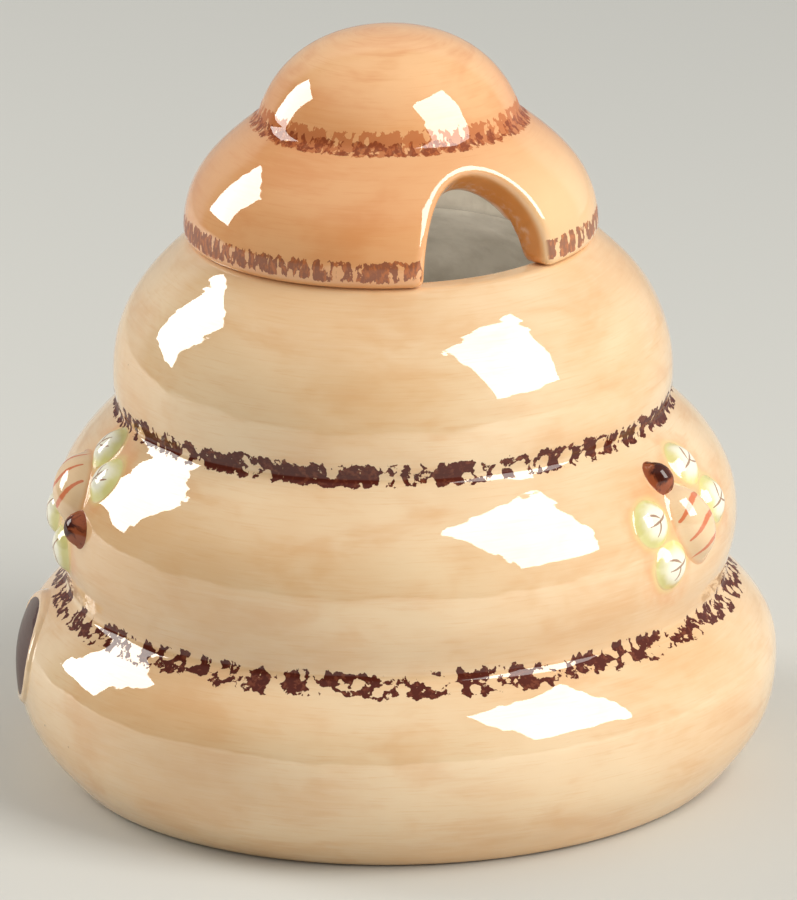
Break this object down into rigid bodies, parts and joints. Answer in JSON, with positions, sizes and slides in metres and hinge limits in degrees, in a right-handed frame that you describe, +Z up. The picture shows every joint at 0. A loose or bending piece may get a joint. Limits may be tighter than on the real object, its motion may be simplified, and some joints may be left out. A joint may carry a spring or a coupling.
{
  "type": "lidded sugar bowl",
  "caption": "Beehive-shaped glazed earthenware sugar bowl with a loose lid that has a spoon notch, and bees and a hive doorway in low relief.",
  "frame": {"origin": "centre of the flat base, on the surface that the bowl stands on", "axes": "+Z up along the bowl's axis; the lid's spoon notch faces -Y; +X is to the right of someone who looks at the notch"},
  "size_m": [0.1048, 0.1048, 0.1034],
  "materials": {
    "bowl_glaze": "glossy clear glaze over cream to yellow-tan brushed stain, brown sponged bands in the creases",
    "lid_glaze": "glossy clear glaze over orange-tan brushed stain, reddish-brown sponged band at the crease and along the lower edge, white inside",
    "dark_brown_glaze": "glossy dark brown glaze",
    "bee_body_glaze": "glossy cream glaze with thin orange-red stripes",
    "bee_wing_glaze": "glossy pale yellow-green glaze with fine brown veins"
  },
  "bodies": {
    "bowl_body": {"bowl": "bowl_glaze", "hive_door_rim": "bowl_glaze", "hive_door_panel": "dark_brown_glaze", "right_bee_head": "dark_brown_glaze", "right_bee_body": "bee_body_glaze", "right_bee_left_fore_wing": "bee_wing_glaze", "right_bee_left_hind_wing": "bee_wing_glaze", "right_bee_right_fore_wing": "bee_wing_glaze", "right_bee_right_hind_wing": "bee_wing_glaze", "left_bee_head": "dark_brown_glaze", "left_bee_body": "bee_body_glaze", "left_bee_left_fore_wing": "bee_wing_glaze", "left_bee_left_hind_wing": "bee_wing_glaze", "left_bee_right_fore_wing": "bee_wing_glaze", "left_bee_right_hind_wing": "bee_wing_glaze", "rear_bee_head": "dark_brown_glaze", "rear_bee_body": "bee_body_glaze", "rear_bee_left_fore_wing": "bee_wing_glaze", "rear_bee_left_hind_wing": "bee_wing_glaze", "rear_bee_right_fore_wing": "bee_wing_glaze", "rear_bee_right_hind_wing": "bee_wing_glaze"},
    "lid_body": {"lid": "lid_glaze"}
  },
  "joints": [
    {"name": "lid_lift", "type": "slide", "parent": "bowl_body", "child": "lid_body", "axis": [0, 0, 1], "range_m": [0, 0.06]}
  ]
}
